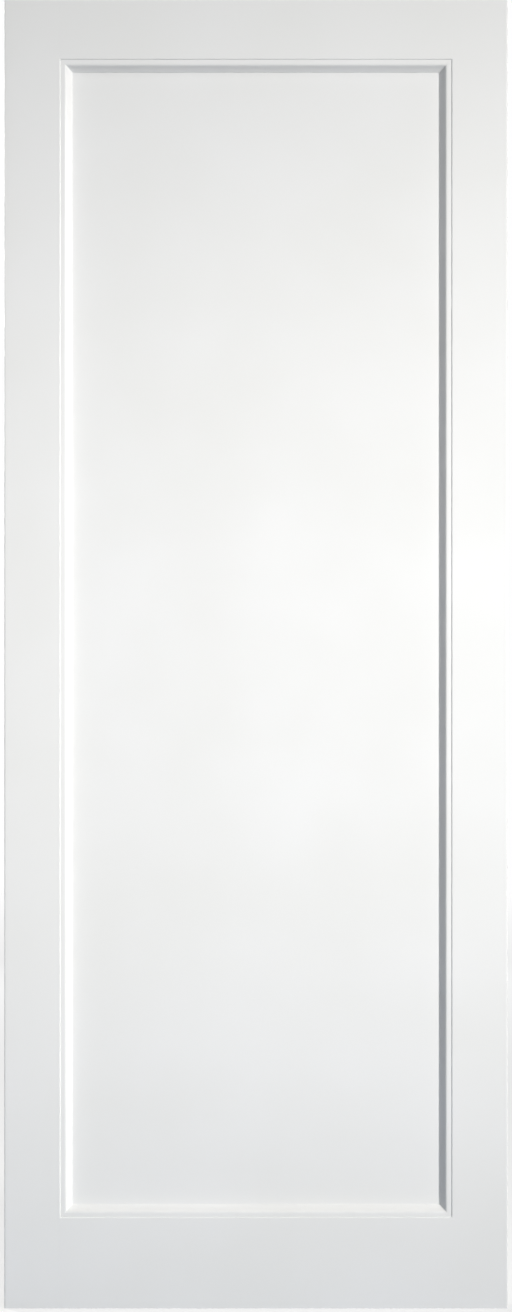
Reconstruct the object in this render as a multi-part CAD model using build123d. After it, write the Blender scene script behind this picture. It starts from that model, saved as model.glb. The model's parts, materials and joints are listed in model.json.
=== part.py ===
from build123d import *
import os

# Shaker door leaf: a flat panel in a frame of stiles and rails, with a coved bead round it on both faces.
# X runs across the leaf from the hinge edge, Y through it from front to back, Z up from the foot.
# All lengths are in millimetres.

# Leaf
leaf_width = 762.0
leaf_height = 1981.0
leaf_thickness = 35.0

# Frame members, each from the leaf's edge to the opening
stile_width = 85.0
top_rail_width = 90.0
bottom_rail_width = 138.0

# Make-up of the members: a timber core between two sheet facings, and a timber lipping on each long edge
facing_thickness = 4.0
lipping_width = 8.0
edge_radius = 1.5
opening_chamfer = 1.2

# Groove round the opening, which takes the panel and the tongues of the rails
groove_depth = 11.0
groove_side_clearance = 0.15
groove_end_clearance = 0.8

# Panel
panel_thickness = 12.0

# Bead planted round the panel: a flat fillet by the frame, rounded over into a cove, and a toe on the panel
bead_width = 17.0
bead_fillet_width = 8.5
bead_toe_height = 1.0
bead_cove_radius = 25.0
bead_arris_radius = 5.0

# Sizes that follow from those above
half_thickness = leaf_thickness / 2
core_thickness = leaf_thickness - 2 * facing_thickness
groove_width = panel_thickness + 2 * groove_side_clearance
groove_reach = groove_depth - groove_end_clearance
opening_width = leaf_width - 2 * stile_width
opening_height = leaf_height - top_rail_width - bottom_rail_width
bead_height = half_thickness - panel_thickness / 2 - opening_chamfer

# Spans across the leaf and through it that several pieces share
opening_span = (stile_width, leaf_width - stile_width)
grooved_span = (stile_width - groove_reach, leaf_width - stile_width + groove_reach)
core_span = (-core_thickness / 2, core_thickness / 2)
groove_span = (-groove_width / 2, groove_width / 2)
panel_span = (-panel_thickness / 2, panel_thickness / 2)

centre_plane = Plane.YZ.offset(leaf_width / 2)
middle_plane = Plane.XZ


def block(x_span, y_span, z_span):
    """A square-edged piece between two limits along each axis."""
    low = (x_span[0], y_span[0], z_span[0])
    size = (x_span[1] - x_span[0], y_span[1] - y_span[0], z_span[1] - z_span[0])
    return Pos(*low) * Box(*size, align=(Align.MIN, Align.MIN, Align.MIN))


def stile_core():
    """The left stile's core, grooved along its inner edge from end to end."""
    core = block((lipping_width, stile_width), core_span, (0, leaf_height))
    groove = block((stile_width - groove_depth, stile_width), groove_span, (0, leaf_height))
    return core - groove


def stile_lipping():
    """The strip that edges the left stile, between its facings."""
    return block((0, lipping_width), core_span, (0, leaf_height))


def stile_front_facing():
    """The left stile's front sheet: rounded along the leaf's edge and chamfered along the opening's."""
    sheet = Rectangle(stile_width, facing_thickness, align=(Align.MIN, Align.MIN))
    front = sheet.vertices().group_by(Axis.Y)[0].sort_by(Axis.X)
    sheet = fillet(front[0], edge_radius)
    front = sheet.vertices().group_by(Axis.Y)[0].sort_by(Axis.X)
    sheet = chamfer(front[-1], opening_chamfer)
    return extrude(Pos(0, -half_thickness, 0) * sheet, leaf_height)


def rail_core(width):
    """A rail's core with its foot on Z = 0 and its grooved edge on top, tongued into both stiles."""
    core = block(opening_span, core_span, (0, width))
    tongues = block(grooved_span, panel_span, (0, width))
    groove = block((0, leaf_width), groove_span, (width - groove_depth, width))
    return core + tongues - groove


def rail_front_facing(width):
    """A rail's front sheet, foot on Z = 0: its ends lap the stiles' chamfers, and its top has its own."""
    inner = opening_width / 2
    lapped = inner + opening_chamfer
    outline = Polyline(
        (-lapped, 0),
        (lapped, 0),
        (inner, opening_chamfer),
        (inner, facing_thickness),
        (-inner, facing_thickness),
        (-inner, opening_chamfer),
        close=True,
    )
    sheet = extrude(Pos(leaf_width / 2, -half_thickness, 0) * make_face(outline), width)
    edge = Polyline(
        (-half_thickness, width - opening_chamfer),
        (-half_thickness + opening_chamfer, width),
        (-half_thickness, width),
        close=True,
    )
    return sheet - extrude(Plane.YZ * make_face(edge), leaf_width)


def left_stile():
    """The left stile's four pieces."""
    front = stile_front_facing()
    back = mirror(front, about=middle_plane)
    return {"core": stile_core(), "lipping": stile_lipping(), "front_facing": front, "back_facing": back}


def rail(width):
    """A rail's three pieces, with its foot on Z = 0."""
    front = rail_front_facing(width)
    back = mirror(front, about=middle_plane)
    return {"core": rail_core(width), "front_facing": front, "back_facing": back}


def flat_panel():
    """The panel, let into the groove on all four sides."""
    low = bottom_rail_width - groove_reach
    high = leaf_height - top_rail_width + groove_reach
    return block(grooved_span, panel_span, (low, high))


def bead(length):
    """A mitred bead along X: its back on Y = 0, its toe towards +Y, standing on the panel at Z = 0."""
    arris = (bead_fillet_width, bead_height)
    toe = (bead_width, bead_toe_height)
    section = make_face(
        [
            Polyline(toe, (bead_width, 0), (0, 0), (0, bead_height), arris),
            RadiusArc(toe, arris, bead_cove_radius),
        ]
    )
    top = section.vertices().group_by(Axis.Y)[-1].sort_by(Axis.X)
    section = fillet(top[-1], bead_arris_radius)
    strip = extrude(Plane.YZ * section, length)
    mitred = Polyline(
        (0, 0),
        (length, 0),
        (length - bead_width, bead_width),
        (bead_width, bead_width),
        close=True,
    )
    return strip & extrude(make_face(mitred), bead_height)


def front_beads():
    """The four beads on the panel's front, each turned so that its back lies against its frame member."""
    left, right = opening_span
    low, high = bottom_rail_width, leaf_height - top_rail_width
    upright = bead(opening_height)
    across = bead(opening_width)
    seats = {
        "left": (upright, left, high, -90),
        "right": (upright, right, low, 90),
        "top": (across, right, high, 180),
        "bottom": (across, left, low, 0),
    }
    face = Plane(origin=(0, -panel_thickness / 2, 0), x_dir=(1, 0, 0), z_dir=(0, -1, 0))
    return {
        side: face * Pos(x, z, 0) * Rot(0, 0, turn) * piece
        for side, (piece, x, z, turn) in seats.items()
    }


pieces = {}

# Left stile, and the right one as its mirror image
for name, piece in left_stile().items():
    pieces["left_stile_" + name] = piece
    pieces["right_stile_" + name] = mirror(piece, about=centre_plane)

# Rails: the bottom one stands as drawn, and the top one hangs upside down from the leaf's top
for name, piece in rail(bottom_rail_width).items():
    pieces["bottom_rail_" + name] = piece
for name, piece in rail(top_rail_width).items():
    pieces["top_rail_" + name] = Pos(0, 0, leaf_height) * mirror(piece, about=Plane.XY)

# Panel and its beads
pieces["flat_panel"] = flat_panel()
for side, piece in front_beads().items():
    pieces["front_" + side + "_bead"] = piece
    pieces["back_" + side + "_bead"] = mirror(piece, about=middle_plane)

os.makedirs("parts", exist_ok=True)
for name, piece in pieces.items():
    export_step(piece, os.path.join("parts", name + ".step"))
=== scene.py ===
import bpy
import json
import math
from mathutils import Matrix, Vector


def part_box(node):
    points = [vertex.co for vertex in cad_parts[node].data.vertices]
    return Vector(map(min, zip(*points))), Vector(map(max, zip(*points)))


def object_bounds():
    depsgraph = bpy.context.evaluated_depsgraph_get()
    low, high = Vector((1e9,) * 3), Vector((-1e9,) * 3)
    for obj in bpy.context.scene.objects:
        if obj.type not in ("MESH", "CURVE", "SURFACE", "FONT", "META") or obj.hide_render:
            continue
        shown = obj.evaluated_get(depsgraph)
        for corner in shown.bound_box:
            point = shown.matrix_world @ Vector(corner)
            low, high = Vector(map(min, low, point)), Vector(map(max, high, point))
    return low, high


# A white primed shaker door leaf, seen square on. Each piece of the leaf keeps its own solid, and gets
# the coat of primer as it looks on the board or timber underneath.

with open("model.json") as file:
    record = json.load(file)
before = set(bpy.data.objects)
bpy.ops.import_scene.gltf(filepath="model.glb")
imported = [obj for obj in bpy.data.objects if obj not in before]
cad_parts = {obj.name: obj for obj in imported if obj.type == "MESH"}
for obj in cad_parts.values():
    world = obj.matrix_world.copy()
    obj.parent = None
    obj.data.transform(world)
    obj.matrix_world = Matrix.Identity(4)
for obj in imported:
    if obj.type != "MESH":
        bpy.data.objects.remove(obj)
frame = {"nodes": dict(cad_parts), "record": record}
cad_box = [list(corner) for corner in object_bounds()]
leaf_low, leaf_high = (Vector(corner) for corner in cad_box)
leaf_middle = (leaf_low + leaf_high) / 2

MM = 0.001


def linear(hex_colour, alpha=1.0):
    """An sRGB hex colour as the linear values that shaders and lamps take."""
    channels = [int(hex_colour[i:i + 2], 16) / 255 for i in (1, 3, 5)]
    return [c / 12.92 if c <= 0.04045 else ((c + 0.055) / 1.055) ** 2.4 for c in channels] + [alpha]


def add_node(tree, kind, inputs=None, **settings):
    """Adds a node, with its settings, and each input either linked or set."""
    node = tree.nodes.new(kind)
    for name, value in settings.items():
        setattr(node, name, value)
    for name, value in (inputs or {}).items():
        if isinstance(value, bpy.types.NodeSocket):
            tree.links.new(value, node.inputs[name])
        else:
            node.inputs[name].default_value = value
    return node


def new_material(name):
    """An empty node material and its tree."""
    material = bpy.data.materials.new(name)
    material.use_nodes = True
    material.node_tree.nodes.clear()
    return material, material.node_tree


def stretched_noise(tree, place, cell, detail):
    """Noise whose cells have the given length along X, Y and Z."""
    scaled = add_node(tree, "ShaderNodeMapping", {"Vector": place, "Scale": [1 / length for length in cell]})
    return add_node(tree, "ShaderNodeTexNoise",
                    {"Vector": scaled.outputs["Vector"], "Scale": 1.0, "Detail": detail}).outputs["Fac"]


# What every coat of primer shares. Most of the noise lies in its span, which is stretched from thick to thin.
PRIMER_IOR = 1.5
FILM_DRIFT = 240 * MM
FILM_DETAIL = 2.0
FILM_ROUNDING = 0.2 * MM
SHEEN_DRIFT = 0.04
RELIEF_DETAIL = 3.0
NOISE_SPAN = (0.35, 0.65)


def primer(name, coat, thin_coat, roughness, relief_cell, relief_height, show_through):
    """White acrylic primer on wood. The film drifts a little in thickness over a hand's breadth or two: where
    it is thin, the base dulls it and takes some of its sheen. The base's own relief stands through the film,
    and show_through is how far that relief tints it. The film rounds every arris over."""
    material, tree = new_material(name)
    place = add_node(tree, "ShaderNodeTexCoord").outputs["Object"]
    film = stretched_noise(tree, place, (FILM_DRIFT, FILM_DRIFT, FILM_DRIFT), FILM_DETAIL)
    relief = stretched_noise(tree, place, relief_cell, RELIEF_DETAIL)
    mixed = add_node(tree, "ShaderNodeMix",
                     {"Factor": show_through, "A": film, "B": relief}).outputs["Result"]
    thinness = add_node(tree, "ShaderNodeMapRange",
                        {"Value": mixed, "From Min": NOISE_SPAN[0],
                         "From Max": NOISE_SPAN[1]}).outputs["Result"]
    colour = add_node(tree, "ShaderNodeMix", {"Factor": thinness, "A": linear(coat), "B": linear(thin_coat)},
                      data_type="RGBA").outputs["Result"]
    sheen = add_node(tree, "ShaderNodeMapRange",
                     {"Value": thinness, "To Min": roughness - SHEEN_DRIFT,
                      "To Max": roughness + SHEEN_DRIFT}).outputs["Result"]
    rounded = add_node(tree, "ShaderNodeBevel", {"Radius": FILM_ROUNDING}).outputs["Normal"]
    bump = add_node(tree, "ShaderNodeBump",
                    {"Height": relief, "Strength": 1.0, "Distance": relief_height, "Normal": rounded})
    paint = add_node(tree, "ShaderNodeBsdfPrincipled",
                     {"Base Color": colour, "Roughness": sheen, "IOR": PRIMER_IOR,
                      "Normal": bump.outputs["Normal"]})
    add_node(tree, "ShaderNodeOutputMaterial", {"Surface": paint.outputs["BSDF"]})
    return material


# Hardboard facing: pressed smooth and sprayed lying flat, so the film levels to an even low sheen. Its orange
# peel is drawn about twice as coarse as the real one, and is still too slight to stand out from here.
facing = primer("sprayed primer on hardboard", "#F1F1F1", "#EEEEED", roughness=0.42,
                relief_cell=(3 * MM, 3 * MM, 3 * MM), relief_height=0.015 * MM, show_through=0.1)

# Fibreboard panel: sprayed after the frame is up, on a face that drinks a little more, so it dries flatter.
# Its peel is drawn coarser too, and is as slight.
panel = primer("sprayed primer on fibreboard", "#F1F1F1", "#EEEEED", roughness=0.46,
               relief_cell=(2.5 * MM, 2.5 * MM, 2.5 * MM), relief_height=0.015 * MM, show_through=0.1)

# Moulded fibreboard bead: the cutter opens the board's core, and the sanding that follows leaves faint
# lines along the moulding.
bead_upright = primer("sprayed primer on upright moulding", "#F1F1F1", "#EDEDEC", roughness=0.44,
                      relief_cell=(1.5 * MM, 1.5 * MM, 70 * MM), relief_height=0.012 * MM, show_through=0.15)
bead_across = primer("sprayed primer on level moulding", "#F1F1F1", "#EDEDEC", roughness=0.44,
                     relief_cell=(70 * MM, 1.5 * MM, 1.5 * MM), relief_height=0.012 * MM, show_through=0.15)

# Softwood core and lipping: brushed thin on the edges only, so the grain stands through in long ridges, warm
# where the film is thinnest, and the ends of the stiles show it as specks.
timber_upright = primer("brushed primer on upright softwood", "#EFEEEB", "#E2DDD2", roughness=0.52,
                        relief_cell=(2.5 * MM, 2.5 * MM, 160 * MM), relief_height=0.06 * MM, show_through=0.7)
timber_across = primer("brushed primer on level softwood", "#EFEEEB", "#E2DDD2", roughness=0.52,
                       relief_cell=(160 * MM, 2.5 * MM, 2.5 * MM), relief_height=0.06 * MM, show_through=0.7)

# Each slot's coat on a piece that stands upright and on one that lies across the leaf
coats = {
    "primed_facing": (facing, facing),
    "primed_panel": (panel, panel),
    "primed_bead": (bead_upright, bead_across),
    "primed_timber": (timber_upright, timber_across),
}
for part in frame["record"]["subparts"]:
    low, high = (Vector(corner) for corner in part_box(part["node"]))
    reach = high - low
    upright, across = coats[part["material_slot"]]
    slots = frame["nodes"][part["node"]].data.materials
    slots.clear()
    slots.append(upright if reach.z > reach.x else across)


# Studio: a pale floor, a white surround and soft lamps
def seen_rays(tree):
    """1 for a ray from the eye or from a glossy or clear surface, and 0 for one that only carries light."""
    rays = add_node(tree, "ShaderNodeLightPath").outputs
    seen = add_node(tree, "ShaderNodeMath", {0: rays["Is Camera Ray"], 1: rays["Is Glossy Ray"]},
                    operation="MAXIMUM").outputs[0]
    return add_node(tree, "ShaderNodeMath", {0: seen, 1: rays["Is Transmission Ray"]},
                    operation="MAXIMUM").outputs[0]


def studio_floor(reach, paint, bounce, near_white, near, far):
    """A wide matt floor under the leaf, greyer for the light that it throws back up than for the eye. It
    takes the leaf's shadow near it, and has gone over into the white surround at the far distance."""
    mesh = bpy.data.meshes.new("studio_floor")
    corners = [(-reach, -reach, 0), (reach, -reach, 0), (reach, reach, 0), (-reach, reach, 0)]
    mesh.from_pydata(corners, [], [(0, 1, 2, 3)])
    floor = bpy.data.objects.new("studio_floor", mesh)
    bpy.context.collection.objects.link(floor)
    material, tree = new_material("matt studio floor")
    seen = seen_rays(tree)
    colour = add_node(tree, "ShaderNodeMix", {"Factor": seen, "A": linear(bounce), "B": linear(paint)},
                      data_type="RGBA").outputs["Result"]
    matt = add_node(tree, "ShaderNodeBsdfDiffuse", {"Color": colour}).outputs["BSDF"]
    white = add_node(tree, "ShaderNodeEmission", {"Color": linear("#FFFFFF"), "Strength": 1.0}).outputs[0]
    place = add_node(tree, "ShaderNodeTexCoord").outputs["Object"]
    distance = add_node(tree, "ShaderNodeVectorMath", {0: place}, operation="LENGTH").outputs["Value"]
    whiteness = add_node(tree, "ShaderNodeMapRange",
                         {"Value": distance, "From Min": near, "From Max": far,
                          "To Min": near_white}).outputs["Result"]
    share = add_node(tree, "ShaderNodeMath", {0: seen, 1: whiteness}, operation="MULTIPLY").outputs[0]
    mixed = add_node(tree, "ShaderNodeMixShader", {0: share, 1: matt, 2: white})
    add_node(tree, "ShaderNodeOutputMaterial", {"Surface": mixed.outputs[0]})
    mesh.materials.append(material)


def white_surround():
    """The world: white where it is seen, and dark where it would light the leaf."""
    world = bpy.data.worlds.new("white_surround")
    bpy.context.scene.world = world
    world.use_nodes = True
    tree = world.node_tree
    tree.nodes.clear()
    back = add_node(tree, "ShaderNodeBackground", {"Color": linear("#FFFFFF"), "Strength": seen_rays(tree)})
    add_node(tree, "ShaderNodeOutputWorld", {"Surface": back.outputs[0]})


def soft_lamp(name, turn, place, aim, size, beam, watts, colour):
    """A square soft box, with its place and aim taken from the leaf's middle and multiplied by the turn. Its
    grid cuts the light off at half the beam's angle to either side."""
    lamp = bpy.data.lights.new(name, "AREA")
    lamp.size = size
    lamp.spread = math.radians(beam)
    lamp.energy = watts
    lamp.color = linear(colour)[:3]
    holder = bpy.data.objects.new(name, lamp)
    bpy.context.collection.objects.link(holder)
    holder.location = leaf_middle + Vector(place) * turn
    target = leaf_middle + Vector(aim) * turn
    holder.rotation_euler = (target - holder.location).to_track_quat("-Z", "Y").to_euler()
    holder.visible_camera = False


studio_floor(reach=40.0, paint="#F4F4F4", bounce="#70839B", near_white=0.65, near=1.0, far=7.0)
white_surround()

# A warm key from the right and above, whose grid keeps its light to the middle of the leaf, a cooler fill
# from the front, and a weak lamp overhead. The back has the same three, turned half round.
lamps = {
    "key_lamp": dict(place=(5.6, -5.4, 2.0), aim=(0.05, 0, -0.09), size=1.3,
                     beam=33, watts=27.1, colour="#FFFDF9"),
    "fill_lamp": dict(place=(0.1, -4.5, 0.1), aim=(0, 0, 0), size=1.0,
                      beam=180, watts=32.5, colour="#FAFDFF"),
    "overhead_lamp": dict(place=(-1.0, -1.2, 2.6), aim=(-0.1, 0, 0), size=0.6,
                          beam=120, watts=3.9, colour="#FAFDFF"),
}
no_turn = Vector((1, 1, 1))
half_turn = Vector((-1, -1, 1))
for name, lamp in lamps.items():
    soft_lamp("front_" + name, no_turn, **lamp)
    soft_lamp("back_" + name, half_turn, **lamp)


# Camera: square on to the front, with the leaf filling the tall frame
FRAME_TALL = 1312
PIXELS_PER_METRE = 660.4
FOOT_ROW = 1308.4
CAMERA_DISTANCE = 4.0
lens_data = bpy.data.cameras.new("front_camera")
lens_data.sensor_width = 36.0
lens_data.lens = lens_data.sensor_width * CAMERA_DISTANCE * PIXELS_PER_METRE / FRAME_TALL
camera = bpy.data.objects.new("front_camera", lens_data)
bpy.context.collection.objects.link(camera)
eye_height = leaf_low.z + (FOOT_ROW - FRAME_TALL / 2) / PIXELS_PER_METRE
camera.location = (leaf_middle.x, leaf_low.y - CAMERA_DISTANCE, eye_height)
camera.rotation_euler = Vector((0, 1, 0)).to_track_quat("-Z", "Y").to_euler()
bpy.context.scene.camera = camera
bpy.context.scene.view_settings.view_transform = "Standard"
